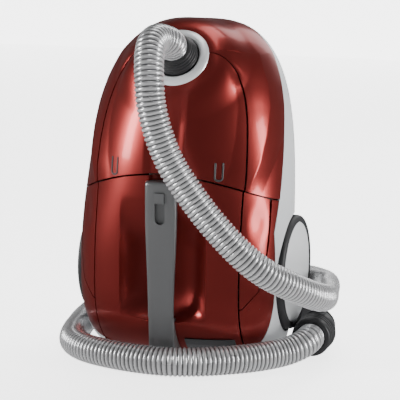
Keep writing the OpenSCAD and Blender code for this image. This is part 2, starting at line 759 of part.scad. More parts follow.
// side directions of the rings, each turned as little as possible from the one before
function turned(sides, ts, i) = i == len(ts) ? sides
    : turned(concat(sides, [let (s = sides[i - 1]) unit(s - (s * ts[i]) * ts[i])]), ts, i + 1);
module hose_tube(from, to) {
    pts = stretch(from, to);
    ts = tangents(from, to);
    start = unit(cross(ts[0], abs(ts[0][2]) > 0.9 ? [0, 1, 0] : [0, 0, 1]));
    sides = turned([start], ts, 1);
    n = hose_sides;
    rings = len(pts);
    // the first ring stands clear of the tube before it
    function ring(k, r) = [for (i = [0:n - 1]) let (a = 360 * i / n)
        pts[k] + (k == 0 ? tube_gap : 0) * ts[k] + r * (cos(a) * sides[k] + sin(a) * cross(ts[k], sides[k]))];
    corners = concat([for (k = [0:rings - 1]) each ring(k, hose_r)],
                     [for (k = [0:rings - 1]) each ring(k, hose_r - hose_wall)]);
    inner = rings * n;
    last = (rings - 1) * n;
    faces = [for (i = [0:n - 1]) let (j = (i + 1) % n) each concat(
        [for (k = [0:rings - 2]) let (a = k * n) each [
            [a + i, a + n + i, a + n + j], [a + i, a + n + j, a + j],
            [inner + a + i, inner + a + n + j, inner + a + n + i],
            [inner + a + i, inner + a + j, inner + a + n + j]]],
        [[i, j, inner + j], [i, inner + j, inner + i],
         [last + i, inner + last + j, last + j], [last + i, inner + last + i, inner + last + j]])];
    color([0.6, 0.6, 0.62]) polyhedron(points = corners, faces = faces, convexity = 12);
}
module hose_upper() hose_tube(0, upper_end);
module hose_bend() hose_tube(upper_end, bend_end);
module hose_lower() hose_tube(bend_end, len(hose_route) - 1);

// ---- grip at the far end: a bent tube that lies behind the right wheel ----
cuff_at = [164, 5, 30];
grip_r = 21;
grip_bend = 90;
grip_turn = 24;
cuff_len = 36;
spigot_r = 17.5;
spigot_len = 45;
module at_cuff() { translate(cuff_at) rotate([-90, 0, 0]) children(); }
module at_bend() { translate([cuff_at[0] - grip_bend, cuff_at[1] + cuff_len, cuff_at[2] - 3]) children(); }
module hose_end_cuff() {
    color(dark) at_cuff() difference() {
        cylinder(r = hose_r + 7, h = cuff_len);
        translate([0, 0, -1]) cylinder(r = hose_r - hose_wall, h = cuff_len + 2);
    }
}
module hose_grip() {
    color(dark) at_bend() difference() {
        union() {
            rotate_extrude(angle = grip_turn) translate([grip_bend, 0]) circle(grip_r);
            rotate(grip_turn) translate([grip_bend, 0, 0]) rotate([-90, 0, 0]) {
                translate([0, 0, -1.5]) cylinder(r = grip_r + 1.5, h = 7.5);
                cylinder(r = spigot_r, h = 6 + spigot_len);
            }
        }
        rotate_extrude(angle = grip_turn) translate([grip_bend, 0]) circle(grip_r - 5);
        rotate(grip_turn) translate([grip_bend, 0, 0]) rotate([-90, 0, 0])
            translate([0, 0, -1]) cylinder(r = spigot_r - 2.5, h = 80);
        rotate(grip_turn / 2) translate([grip_bend - 7, -12, grip_r - 4]) cube([14, 24, 20]);
    }
}
module air_slider() {
    color([0.4, 0.4, 0.41]) at_bend() rotate(grip_turn / 2)
        translate([grip_bend - 6.6, -11.6, grip_r - 3.6]) cube([13.2, 12, 5]);
}

lower_housing();
upper_frame();
rear_cover();
side_panel_left();
side_panel_right();
handle();
parking_clip();
rear_feet();
cord_outlet();
exhaust_grille();
exhaust_filter();
wheel_wells();
wheel_axles();
caster_socket();
dust_compartment();
bag_holder();
bag_collar();
dust_bag();
motor_filter();
motor_housing();
motor_mounts();
motor_stator();
motor_bearings();
fan_shroud();
fan();
reel_bracket();
reel_axle();
reel_spring_case();
reel_drum();
brake_pin();
brake_lever();
control_board();
power_switch();
pedal_pivots();
hinge_brackets();
hinge_pins();
lid();
lid_arms();
inlet_ring();
inlet_socket();
inlet_seal();
hose_connector();
lid_latch();
power_pedal();
rewind_pedal();
suction_slider();
wheel_left();
tyre_left();
hub_cap_left();
wheel_right();
tyre_right();
hub_cap_right();
caster_fork();
caster_wheel();
hose_upper();
hose_bend();
hose_lower();
hose_end_cuff();
hose_grip();
air_slider();
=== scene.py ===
import bmesh
import bpy
import json
import math
import numpy as np
from mathutils import Matrix, Vector


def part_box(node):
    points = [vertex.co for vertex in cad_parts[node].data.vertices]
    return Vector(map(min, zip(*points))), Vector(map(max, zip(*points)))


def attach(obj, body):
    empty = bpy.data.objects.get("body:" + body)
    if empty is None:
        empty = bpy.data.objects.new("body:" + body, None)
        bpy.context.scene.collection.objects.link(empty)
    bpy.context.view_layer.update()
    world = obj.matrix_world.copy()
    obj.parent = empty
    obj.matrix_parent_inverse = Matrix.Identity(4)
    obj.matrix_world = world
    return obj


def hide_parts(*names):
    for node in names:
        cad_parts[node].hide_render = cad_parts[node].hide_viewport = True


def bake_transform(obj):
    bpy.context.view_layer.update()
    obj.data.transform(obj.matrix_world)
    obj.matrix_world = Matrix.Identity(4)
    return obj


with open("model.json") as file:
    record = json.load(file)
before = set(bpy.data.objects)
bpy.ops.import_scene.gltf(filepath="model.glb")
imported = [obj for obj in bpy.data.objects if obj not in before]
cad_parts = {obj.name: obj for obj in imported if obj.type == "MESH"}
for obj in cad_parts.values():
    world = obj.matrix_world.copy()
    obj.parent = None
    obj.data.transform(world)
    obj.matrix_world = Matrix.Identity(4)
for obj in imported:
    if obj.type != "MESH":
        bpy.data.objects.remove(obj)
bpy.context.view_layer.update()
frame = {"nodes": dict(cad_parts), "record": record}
mm = 0.001  # shapes are worked out in millimetres, like the CAD part

# camera and light
view = {"azimuth": 17.6, "elevation": 10.2, "roll": 0.8, "distance": 2.172, "focal": 153.8,
        "aim": (0.016, 0.002, 0.197)}


def makeCamera(v):
    # the camera looks back along the direction (sin a cos e, -cos a cos e, sin e) to the aim
    a, e, r = (math.radians(v[k]) for k in ("azimuth", "elevation", "roll"))
    back = Vector((math.sin(a) * math.cos(e), -math.cos(a) * math.cos(e), math.sin(e)))
    side = Vector((math.cos(a), math.sin(a), 0))
    up = back.cross(side)
    side, up = side * math.cos(r) + up * math.sin(r), up * math.cos(r) - side * math.sin(r)
    data = bpy.data.cameras.new("camera")
    data.lens = v["focal"]
    data.sensor_width = 36
    data.clip_end = 20
    obj = bpy.data.objects.new("camera", data)
    bpy.context.collection.objects.link(obj)
    place = Vector(v["aim"]) + back * v["distance"]
    obj.matrix_world = Matrix((side, up, back)).transposed().to_4x4()
    obj.location = place
    bpy.context.scene.camera = obj


studio = {"key": ((-1.6, -0.9, 0.8), 0.6, 36), "side": ((1.9, -0.1, 0.5), 0.7, 34),
          "top": ((0.1, 0.3, 1.9), 0.9, 12), "back": ((0.4, 1.7, 1.2), 1.0, 8), "world": 0.1,
          "floor": 0.9, "floorGlow": 2.7, "backdrop": 2.9}


def makeStudio(s):
    for name in ("key", "side", "top", "back"):
        place, size, power = s[name]
        data = bpy.data.lights.new(name, "AREA")
        data.shape = "RECTANGLE"
        data.size = size * 0.6
        data.size_y = size * 1.5
        data.energy = power
        lamp = bpy.data.objects.new(name, data)
        bpy.context.collection.objects.link(lamp)
        lamp.location = place
        aim = Vector((0, 0, 0.2)) - Vector(place)
        lamp.rotation_euler = aim.to_track_quat("-Z", "Y").to_euler()
    world = bpy.data.worlds.new("studio")
    world.use_nodes = True
    sky = world.node_tree.nodes["Background"]
    sky.inputs["Color"].default_value = (1, 1, 1, 1)
    sky.inputs["Strength"].default_value = s["world"]
    bpy.context.scene.world = world


makeCamera(view)
makeStudio(studio)

# materials


def grainGroup():
    # fine and broad noise over the object: Tone near 1 for colour, Polish near 0 for roughness, Height
    group = bpy.data.node_groups.new("surfaceGrain", "ShaderNodeTree")
    for name, low in (("Scale", 60.0), ("Tone", 0.06), ("Polish", 0.05)):
        socket = group.interface.new_socket(name=name, in_out="INPUT", socket_type="NodeSocketFloat")
        socket.default_value = low
    for name in ("Shade", "Rough", "Height"):
        group.interface.new_socket(name=name, in_out="OUTPUT", socket_type="NodeSocketFloat")
    nodes, links = group.nodes, group.links
    source, sink = nodes.new("NodeGroupInput"), nodes.new("NodeGroupOutput")
    place = nodes.new("ShaderNodeTexCoord")
    fine, broad = nodes.new("ShaderNodeTexNoise"), nodes.new("ShaderNodeTexNoise")
    broad.inputs["Scale"].default_value = 9
    fine.inputs["Detail"].default_value = 3
    links.new(place.outputs["Object"], fine.inputs["Vector"])
    links.new(place.outputs["Object"], broad.inputs["Vector"])
    links.new(source.outputs["Scale"], fine.inputs["Scale"])

    def swing(noise, amount, base):
        # base + (noise - 0.5) * 2 * amount
        centre = nodes.new("ShaderNodeMath")
        centre.operation = "MULTIPLY_ADD"
        centre.inputs[1].default_value, centre.inputs[2].default_value = 2, -1
        links.new(noise, centre.inputs[0])
        out = nodes.new("ShaderNodeMath")
        out.operation = "MULTIPLY_ADD"
        out.inputs[2].default_value = base
        links.new(centre.outputs[0], out.inputs[0])
        links.new(source.outputs[amount], out.inputs[1])
        return out.outputs[0]

    links.new(swing(broad.outputs["Fac"], "Tone", 1), sink.inputs["Shade"])
    links.new(swing(broad.outputs["Fac"], "Polish", 0), sink.inputs["Rough"])
    links.new(fine.outputs["Fac"], sink.inputs["Height"])
    return group


surfaceGrain = grainGroup()


def makeMaterial(name, colour, rough, metal=0.0, coat=0.0, scale=400.0, tone=0.05, polish=0.04,
                 bump=0.02, groove=None):
    material = bpy.data.materials.new(name)
    material.use_nodes = True
    nodes, links = material.node_tree.nodes, material.node_tree.links
    shader = nodes["Principled BSDF"]
    shader.inputs["Metallic"].default_value = metal
    shader.inputs["Coat Weight"].default_value = coat
    shader.inputs["Coat Roughness"].default_value = 0.08
    grain = nodes.new("ShaderNodeGroup")
    grain.node_tree = surfaceGrain
    for key, value in (("Scale", scale), ("Tone", tone), ("Polish", polish)):
        grain.inputs[key].default_value = value
    shade = nodes.new("ShaderNodeVectorMath")
    shade.operation = "SCALE"
    links.new(grain.outputs["Shade"], shade.inputs["Scale"])
    shade.inputs[0].default_value = colour
    if groove:
        # painted shade: the hollows between the ribs are coloured near-black, darker than their crests
        rib = nodes.new("ShaderNodeAttribute")
        rib.attribute_name = "rib"
        mix = nodes.new("ShaderNodeMix")
        mix.data_type = "RGBA"
        mix.inputs["A"].default_value = (*groove, 1)
        mix.inputs["B"].default_value = (*colour, 1)
        links.new(rib.outputs["Fac"], mix.inputs["Factor"])
        links.new(mix.outputs["Result"], shade.inputs[0])
    links.new(shade.outputs[0], shader.inputs["Base Color"])
    add = nodes.new("ShaderNodeMath")
    add.operation = "ADD"
    add.inputs[1].default_value = rough
    links.new(grain.outputs["Rough"], add.inputs[0])
    links.new(add.outputs[0], shader.inputs["Roughness"])
    relief = nodes.new("ShaderNodeBump")
    relief.inputs["Strength"].default_value = bump
    relief.inputs["Distance"].default_value = 0.0004
    links.new(grain.outputs["Height"], relief.inputs["Height"])
    links.new(relief.outputs["Normal"], shader.inputs["Normal"])
    return material


finish = {
    "red_plastic": makeMaterial("redLacquer", (0.24, 0.029, 0.025), 0.3, 0.85, 0.2, 900, 0.03, 0.0, 0.0),
    "grey_plastic": makeMaterial("greyCasing", (0.40, 0.41, 0.42), 0.4, 0.15, 0.1, 700),
    "handle_plastic": makeMaterial("handleGrey", (0.15, 0.152, 0.155), 0.34, 0.7, 0.1, 700),
    "silver_plastic": makeMaterial("satinSilver", (0.66, 0.67, 0.68), 0.3, 0.35, 0.2, 700),
    # this dark material also colours the lid U marks, where it is painted shade
    "dark_plastic": makeMaterial("darkPlasticAndMarkShade", (0.028, 0.028, 0.03), 0.45, 0, 0, 500),
    "black_rubber": makeMaterial("blackRubber", (0.014, 0.014, 0.015), 0.42, 0, 0.1, 500),
    "tyre_rubber": makeMaterial("tyreRubber", (0.016, 0.016, 0.017), 0.55, 0, 0, 300, bump=0.08),
    "steel": makeMaterial("steel", (0.58, 0.58, 0.6), 0.28, 1.0, 0, 500),
    # groove: the near-black painted shade put into the hose's rib valleys
    "hose_plastic": makeMaterial("hoseSilver", (0.55, 0.55, 0.56), 0.27, 0.65, 0.1, 500,
                                 groove=(0.012, 0.012, 0.013)),
    "bag_paper": makeMaterial("bagFleece", (0.72, 0.68, 0.6), 0.9, 0, 0, 180, 0.08, bump=0.4),
    "board": makeMaterial("bagCard", (0.5, 0.38, 0.22), 0.8, 0, 0, 220, bump=0.2),
    "filter_cloth": makeMaterial("filterFleece", (0.75, 0.75, 0.73), 0.95, 0, 0, 250, bump=0.4),
    "circuit": makeMaterial("circuitBoard", (0.02, 0.12, 0.05), 0.5, 0, 0.3, 300),
}
for part in frame["record"]["subparts"]:
    node = frame["nodes"][part["node"]]
    node.data.materials.clear()
    node.data.materials.append(finish[part["material_slot"]])
print("materials", len(finish))

# outline of the casing, in millimetres
casing = {"height": 425, "halfWidth": 133, "crest": 103, "base": 86, "wideZ": 108, "roundZ": 200,
          "noseY": 49, "lowY": -9, "baseY": 13, "tuckZ": 100, "wall": 2.4,
          "splitTop": 421.5}
lidShape = {"x": 94, "z": 244, "drop": 19, "gap": 2.2, "top": 385, "power": 3.6}
inlet = {"centre": (0, -47, 381), "tilt": 37, "ring": 41, "hole": 36.5}
seam = 1.6


def quarter(t, p):
    # superellipse arc: 1 at t = 0, falling to 0 at t = 1
    return np.maximum(0, 1 - np.minimum(1, np.abs(t)) ** p) ** (1 / p)


def ease(t):
    u = np.clip(t, 0, 1)
    return u * u * (3 - 2 * u)


def halfWidth(z):
    c = casing
    up = quarter((z - c["wideZ"]) / (c["height"] - c["wideZ"]), 3.1)
    return c["halfWidth"] * np.where(z > c["wideZ"], up, quarter((c["wideZ"] - z) / 163, 2.9))


def midDepth(z):
    c = casing
    low = c["lowY"] + (c["baseY"] - c["lowY"]) * ease((c["tuckZ"] - z) / c["tuckZ"])
    return np.where(z < c["tuckZ"], low,
                    c["lowY"] + (c["noseY"] - c["lowY"]) * ease((z - 130) / (c["height"] - 130)))


def crestDepth(z):
    c = casing
    up = (z - c["roundZ"]) / (c["height"] - c["roundZ"])
    nose = c["noseY"] - (c["noseY"] + c["crest"]) * quarter(up, 2.3)
    tuck = c["baseY"] - (c["baseY"] + c["crest"]) * quarter((c["tuckZ"] - z) / (c["tuckZ"] - 2), 2.4)
    return np.where(z > c["roundZ"], nose, np.where(z < c["tuckZ"], tuck, -c["crest"]))


def backDepth(z):
    c = casing
    nose = c["noseY"] + (c["base"] - c["noseY"]) * quarter((z - c["height"] + 95) / 95, 2)
    rear = c["base"] - 12 * (1 - quarter((40 - z) / 50, 2))
    return np.where(z > c["height"] - 95, nose, np.where(z < 40, rear, c["base"]))


def frontPower(z):
    return 2.4 - 0.4 * ease((z - 120) / 120)


def casingPoint(a, z):
    # superellipse section: a = 0 on the crest, a quarter turn on the widest line, half a turn at the back
    a, z = np.broadcast_arrays(np.asarray(a, float), np.asarray(z, float))
    front = np.cos(a) > 0
    power = np.where(front, frontPower(z), 4)
    depth = np.where(front, midDepth(z) - crestDepth(z), backDepth(z) - midDepth(z))
    x = halfWidth(z) * np.sign(np.sin(a)) * np.abs(np.sin(a)) ** (2 / power)
    y = midDepth(z) - depth * np.sign(np.cos(a)) * np.abs(np.cos(a)) ** (2 / power)
    return np.stack([x, y, z], -1)


def angleAtX(x, z):
    share = np.clip(np.abs(x) / np.maximum(halfWidth(z), 0.01), 0, 1)
    return np.sign(x) * np.arcsin(share ** (frontPower(z) / 2))


def angleAtDepth(y, z):
    mid = midDepth(z)
    front = np.clip((mid - y) / np.maximum(mid - crestDepth(z), 0.01), 0, 1)
    back = np.clip((y - mid) / np.maximum(backDepth(z) - mid, 0.01), 0, 1)
    return np.where(y < mid, np.arccos(front ** (frontPower(z) / 2)), np.pi - np.arccos(back ** 2))


def seamZ(x):
    return lidShape["z"] - lidShape["drop"] * (np.minimum(np.abs(x), 150) / lidShape["x"]) ** 2


def splitY(z):
    return np.minimum(62, np.maximum(-42, -42 + 0.4 * (z - 170)))


def pedalY(z):
    return -39 + 0.234 * (z - 217)


# relief pressed into the casing
relief = {"ridge": 4.6, "ridgeIn": 27, "ridgeOut": 16,
          "scoopX": 56, "scoopLow": 58, "scoopHigh": 216, "scoop": 32,
          "channel": 3.2, "channelX": 25, "groove": 5, "grooveWidth": 5, "thumb": 12}
ridgeLine = {"z": [205, 229, 259, 291, 323, 351, 385, 410], "x": [92, 99, 106, 109, 108, 101, 86, 65]}


def pressRelief(p):
    x, y, z = p[..., 0], p[..., 1], p[..., 2]
    r = relief
    # a sharp ridge runs down each shoulder: height falls evenly to both sides of the line
    line = np.interp(z, ridgeLine["z"], ridgeLine["x"])
    fade = ease((z - 205) / 50) * ease((418 - z) / 40) * (y < midDepth(z))
    past = np.abs(x) - line
    height = r["ridge"] * np.maximum(0, 1 - np.maximum(-past / r["ridgeIn"], past / r["ridgeOut"])) * fade
    out = np.stack([x, y - midDepth(z)], -1)
    out = out / np.maximum(1, np.linalg.norm(out, axis=-1, keepdims=True))
    x, y = x + height * out[..., 0], y + height * out[..., 1]
    # a shallow channel down the middle of the lid
    front = y < midDepth(z) - 5
    across = np.clip(3 * (1 - np.abs(x) / r["channelX"]), 0, 1)
    y = y + front * r["channel"] * across * ease((z - 236) / 8) * ease((372 - z) / 50)
    # a finger groove along the upper corners of the lid
    arc = lidShape["x"] * quarter((z - 200) / (lidShape["top"] - 200), lidShape["power"])
    corner = np.hypot(np.abs(x) - 60, z - 377)
    bend = np.minimum(np.abs(np.abs(x) - arc), np.abs(z - archHeight(x)))
    y = y + front * r["groove"] * np.exp(-(bend / r["grooveWidth"]) ** 2) * ease((34 - corner) / 16)
    # the surface rises to the inlet ring
    t = math.radians(inlet["tilt"])
    dy, dz = y - inlet["centre"][1], z - inlet["centre"][2]
    high, rise = dy * math.sin(t) + dz * math.cos(t), -dy * math.cos(t) + dz * math.sin(t)
    near = ease((88 - np.hypot(x, high)) / 46) * (y < midDepth(z))
    step = near * (1.6 - rise)
    return np.stack([x, y - step * math.cos(t), z + step * math.sin(t)], -1)


def archHeight(x):
    return 200 + (lidShape["top"] - 200) * quarter(x / lidShape["x"], lidShape["power"])


def pressScoop(p):
    # a finger scoop behind the handle: crisp at its sides and foot, soft at the top
    x, y, z = p[..., 0], p[..., 1], p[..., 2]
    r = relief
    across = 1 - np.minimum(1, np.abs(x) / r["scoopX"]) ** 3.4
    foot = 1 - (1 - np.clip((z - r["scoopLow"] - 0.12 * np.abs(x)) / 50, 0, 1)) ** 3
    y = y + r["scoop"] * across * foot * ease((r["scoopHigh"] - z) / 66)
    y = y + r["thumb"] * quarter(x / 17, 2.5) * ease((z - 224) / 10) * ease((262 - z) / 20)
    return np.stack([x, y, z], -1)


# mesh helpers


def addMesh(name, grids, material, body):
    # each grid is rows by columns of points; quads join neighbours and the seams are merged
    mesh = bpy.data.meshes.new(name)
    verts, faces, start = [], [], 0
    for grid in grids:
        rows, cols = grid.shape[:2]
        k = start + np.arange(rows * cols).reshape(rows, cols)
        faces.append(np.stack([k[:-1, :-1], k[:-1, 1:], k[1:, 1:], k[1:, :-1]], -1).reshape(-1, 4))
        verts.append(grid.reshape(-1, 3) * mm)
        start += rows * cols
    mesh.from_pydata(np.concatenate(verts), [], np.concatenate(faces))
    form = bmesh.new()
    form.from_mesh(mesh)
    bmesh.ops.remove_doubles(form, verts=form.verts, dist=2e-6)
    bmesh.ops.dissolve_degenerate(form, edges=form.edges, dist=1e-7)
    form.to_mesh(mesh)
    form.free()
    mesh.shade_smooth()
    mesh.materials.append(finish[material])
    obj = bpy.data.objects.new(name, mesh)
    bpy.context.collection.objects.link(obj)
    if body:
        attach(obj, body)
    return obj


def addWall(obj, thickness=2.4, edge=0.8):
    # the wall grows inwards, then its edges are rounded
    solid = obj.modifiers.new("wall", "SOLIDIFY")
    solid.thickness = thickness * mm
    solid.offset = -1
    addBevel(obj, edge)


def addBevel(obj, edge, angle=42):
    bevel = obj.modifiers.new("edge", "BEVEL")
    bevel.width = edge * mm
    bevel.segments = 2
    bevel.limit_method = "ANGLE"
    bevel.angle_limit = math.radians(angle)
    bevel.harden_normals = True


def dropFaces(obj, keep):
    # removes the faces whose centres fail the test
    form = bmesh.new()
    form.from_mesh(obj.data)
    faces = list(form.faces)
    centres = np.array([f.calc_center_median() for f in faces]) / mm
    gone = np.flatnonzero(~keep(centres))
    bmesh.ops.delete(form, geom=[faces[i] for i in gone], context="FACES")
    form.to_mesh(obj.data)
    form.free()


def roundHole(obj):
    # moves the ragged edge of the hole onto a circle round the inlet axis
    t = math.radians(inlet["tilt"])
    form = bmesh.new()
    form.from_mesh(obj.data)
    for vert in form.verts:
        x, y, z = vert.co / mm
        dy, dz = y - inlet["centre"][1], z - inlet["centre"][2]
        high, rise = dy * math.sin(t) + dz * math.cos(t), dz * math.sin(t) - dy * math.cos(t)
        away = math.hypot(x, high)
        if vert.is_boundary and abs(away - inlet["hole"]) < 3.5 and y < 20:
            high *= inlet["hole"] / away
            place = (x * inlet["hole"] / away, inlet["centre"][1] + high * math.sin(t) - rise * math.cos(t),
                     inlet["centre"][2] + high * math.cos(t) + rise * math.sin(t))
            vert.co = Vector(place) * mm
    form.to_mesh(obj.data)
    form.free()


def outsideRing(p):
    t = math.radians(inlet["tilt"])
    dy, dz = p[:, 1] - inlet["centre"][1], p[:, 2] - inlet["centre"][2]
    return (np.hypot(p[:, 0], dy * math.sin(t) + dz * math.cos(t)) > inlet["hole"]) | (p[:, 1] > 20)


def cutWith(obj, cutter, overlapping=False):
    # cuts the closed cutter out of the piece and removes the cutter
    cut = obj.modifiers.new("cut", "BOOLEAN")
    cut.operation = "DIFFERENCE"
    cut.solver = "EXACT"
    cut.use_self = overlapping
    cut.object = cutter
    cutter.hide_render = True
    bpy.context.view_layer.update()
    shape = bpy.data.meshes.new_from_object(obj.evaluated_get(bpy.context.evaluated_depsgraph_get()))
    obj.modifiers.clear()
    obj.data = shape
    bpy.data.objects.remove(cutter)


def rodMesh(name, rods):
    # closed rods for cutting: (centre, axis, radius, length, sides); four sides make a box
    form = bmesh.new()
    for centre, axis, radius, length, sides in rods:
        turn = Vector(axis).to_track_quat("Z", "Y").to_matrix().to_4x4()
        if sides == 4:
            place = Matrix.Translation(Vector(centre) * mm) @ Matrix.Diagonal((*[v * mm for v in radius], 1))
            bmesh.ops.create_cube(form, size=1, matrix=place)
        else:
            place = Matrix.Translation(Vector(centre) * mm) @ turn
            bmesh.ops.create_cone(form, cap_ends=True, segments=sides, radius1=radius * mm,
                                  radius2=radius * mm, depth=length * mm, matrix=place)
    mesh = bpy.data.meshes.new(name)
    form.to_mesh(mesh)
    form.free()
    obj = bpy.data.objects.new(name, mesh)
    bpy.context.collection.objects.link(obj)
    return obj


# red panels


nosePole = np.array([0, casing["noseY"], casing["height"] - 0.1])


def makeLid():
    s = lidShape
    t = np.linspace(0.028, math.pi / 2 - 0.001, 150)[:, None]
    u = np.sin(np.linspace(-1, 1, 131) * math.pi / 2)[None] * 0.25 + np.linspace(-1, 1, 131)[None] * 0.75
    rise = np.sin(t) ** (2 / s["power"])
    side = (s["x"] - 0.2) * np.cos(t) ** (2 / s["power"])
    start = s["z"] - s["drop"]
    z = 200 + (s["top"] - 200) * rise
    share = (z - z[0]) / (s["top"] - z[0])
    x = u * side
    z = z + (start - z[0]) * (1 - share) + s["drop"] * (1 - u ** 2) * (1 - share) ** 2 + s["gap"] / 2
    points = pressRelief(casingPoint(angleAtX(x, z), z))
    lid = addMesh("lidShell", [points], "red_plastic", "lid")
    dropFaces(lid, outsideRing)
    roundHole(lid)
    addWall(lid)
    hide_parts("lid")


def makeUpperFrame():
    s = lidShape
    top = casing["height"]
    start = s["z"] - s["drop"]
    t = np.concatenate([np.linspace(0, 0.78, 90), np.linspace(0.785, 0.815, 14), 0.815 + 0.185 * np.sin(
        np.linspace(0.05, 1, 40) * math.pi / 2)])[:, None]
    z = start + (top - 0.3 - start) * t
    c = np.linspace(0, 1, 60)[None]
    grids = []
    for side in (-1, 1):
        inner = (s["x"] + seam) * quarter((z - 200) / (s["top"] + seam - 200), s["power"])
        a = angleAtX(inner, z) * (1 - c) + (angleAtDepth(splitY(z), z) - 0.006) * c
        x = casingPoint(a, z)[..., 0]
        low = z + (seamZ(x) + seam / 2 - start) * (1 - t) ** 3
        grid = pressRelief(casingPoint(a * side, low))
        grid = np.concatenate([grid, grid[-1:] * 0 + nosePole])
        grids.append(grid if side > 0 else grid[:, ::-1])
    shell = addMesh("upperShell", grids, "red_plastic", "root")
    dropFaces(shell, outsideRing)
    roundHole(shell)
    addWall(shell)
    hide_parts("upper_frame")


def makeRearCover():
    v = np.linspace(0, 1, 190)[:, None] ** 1.25
    x = np.linspace(-1, 1, 151)[None] * (lidShape["x"] - seam / 2)
    low = 5
    z = low + (seamZ(x) - lidShape["gap"] / 2 - low) * v
    points = pressScoop(casingPoint(angleAtX(x, z), z))
    cover = addMesh("rearCoverShell", [points], "red_plastic", "root")
    addWall(cover)
    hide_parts("rear_cover")


pedalShape = {"low": 78, "diagonal": 28 / 34, "inner": 95, "slot": 0.012}


def pedalEdge(z):
    # the slanted foot of the pedal, up to the slot that runs beside it
    out = np.maximum(0, z - pedalShape["low"]) * pedalShape["diagonal"]
    slanted = angleAtX(pedalShape["inner"] + 1 + out, z)
    return np.minimum(slanted, angleAtDepth(pedalY(z), z))


def makeSidePanels():
    t = np.linspace(0, 1, 130)[:, None]
    c = np.linspace(0, 1, 50)[None]
    for name, side in (("left", -1), ("right", 1)):
        z = 5 + 205 * t
        for _ in range(3):
            inner = np.where(z < pedalShape["low"], angleAtX(lidShape["x"] + seam / 2, z),
                             pedalEdge(z) + pedalShape["slot"])
            a = inner * (1 - c) + (angleAtDepth(splitY(z), z) - 0.006) * c
            z = 5 + (seamZ(casingPoint(a, z)[..., 0]) - seam / 2 - 5) * t
        panel = casingPoint(a * side, z)
        panel = addMesh("sideShell_" + name, [panel if side > 0 else panel[:, ::-1]], "red_plastic", "root")
        addWall(panel)
        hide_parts("side_panel_" + name)


def makePedals():
    t = np.linspace(0, 1, 90)[:, None] ** 0.9
    c = np.linspace(0, 1, 30)[None]
    low = pedalShape["low"] + 2
    for name, side in (("power_pedal", -1), ("rewind_pedal", 1)):
        z = low + 146 * t
        for _ in range(3):
            slot = 0.006 + 0.026 * np.clip((z - 110) / 110, 0, 1)
            a = angleAtX(pedalShape["inner"], z) * (1 - c) + (pedalEdge(z) - slot) * c
            z = low + (seamZ(casingPoint(a, z)[..., 0]) - seam / 2 - low) * t
        plate = casingPoint(a * side, z)
        # a shallow dish for the toe
        dish = np.hypot((np.abs(plate[..., 0]) - 112) / 13, (plate[..., 2] - 185) / 30)
        plate[..., 1] += 2.2 * ease(1 - dish)
        plate = addMesh(name + "Shell", [plate if side > 0 else plate[:, ::-1]], "red_plastic", name)
        addWall(plate)
        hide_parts(name)


# grey housing
wheels = {"x": 113, "y": 36.5, "z": 106, "radius": 73, "width": 24}
opening = {"caster": (0, 90, 318), "casterRadius": 33.3, "grille": (0, 88, 127),
           "grilleSize": (92.6, 30, 70.6)}


def makeHousing():
    t = np.linspace(0, 1, 150)[:, None]
    z = 4 + (casing["splitTop"] - 4) * (t - 0.35 * np.sin(2 * math.pi * t) / (2 * math.pi))
    c = np.linspace(0, 1, 160)[None]
    start = angleAtDepth(splitY(z), z) + 0.006
    wallGrid = casingPoint(start + (2 * math.pi - 2 * start) * c, z)
    around = np.linspace(0, 2 * math.pi, 161)[None]
    outline = casingPoint(around, np.full((1, 1), 4.0))
    scale = np.linspace(0, 1, 20)[:, None, None]
    middle = np.array([0, 13, 3.2])
    plate = middle + (outline - middle) * scale
    plate[..., 2] = 3.2 + 0.8 * scale[..., 0] ** 8
    shell = addMesh("housingShell", [wallGrid], "grey_plastic", "root")
    solid = shell.modifiers.new("wall", "SOLIDIFY")
    solid.thickness = casing["wall"] * mm
    solid.offset = -1
    well = wheels["radius"] + 3.5
    cutters = [((side * (wheels["x"] + 45), wheels["y"], wheels["z"]), (1, 0, 0), well, 100, 72)
               for side in (-1, 1)]
    cutters.append((opening["caster"], (0, 1, 0), opening["casterRadius"], 60, 48))
    cutters.append((opening["grille"], (0, 0, 1), opening["grilleSize"], 0, 4))
    cutWith(shell, rodMesh("housingCuts", cutters))
    addBevel(shell, 0.6, 50)
    end = addMesh("rearEndPlate", [plate[:, ::-1]], "dark_plastic", "root")
    end.modifiers.new("wall", "SOLIDIFY").thickness = 1 * mm
    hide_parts("lower_housing")


makeLid()
makeUpperFrame()
makeRearCover()
makeSidePanels()
makePedals()
makeHousing()
print("casing panels done")

# turned pieces


def turned(name, profile, origin, axis, material, body, sides=96, replaces=()):
    # a profile of (radius, height) turned about an axis through origin
    profile = np.array(profile, float)
    n = np.array(axis, float) / np.linalg.norm(axis)
    p = np.cross(n, (0, 0, 1) if abs(n[2]) < 0.9 else (1, 0, 0))
    p /= np.linalg.norm(p)
    q = np.cross(n, p)
    a = np.linspace(0, 2 * math.pi, sides + 1)[None, :, None]
    r, h = profile[:, 0][:, None, None], profile[:, 1][:, None, None]
    grid = np.array(origin) + n * h + r * (np.cos(a) * p + np.sin(a) * q)
    obj = addMesh(name, [grid], material, body)
    obj.data.set_sharp_from_angle(angle=math.radians(38))
    if replaces:
        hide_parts(*replaces)
    return obj


def roundCorner(r, h, radius, start, end, steps=6):
    # points on a quarter or more of a circle, angles in degrees
    a = np.radians(np.linspace(start, end, steps))
    return [(r + radius * math.cos(v), h + radius * math.sin(v)) for v in a]


tilt = math.radians(inlet["tilt"])
inletAxis = (0, -math.cos(tilt), math.sin(tilt))


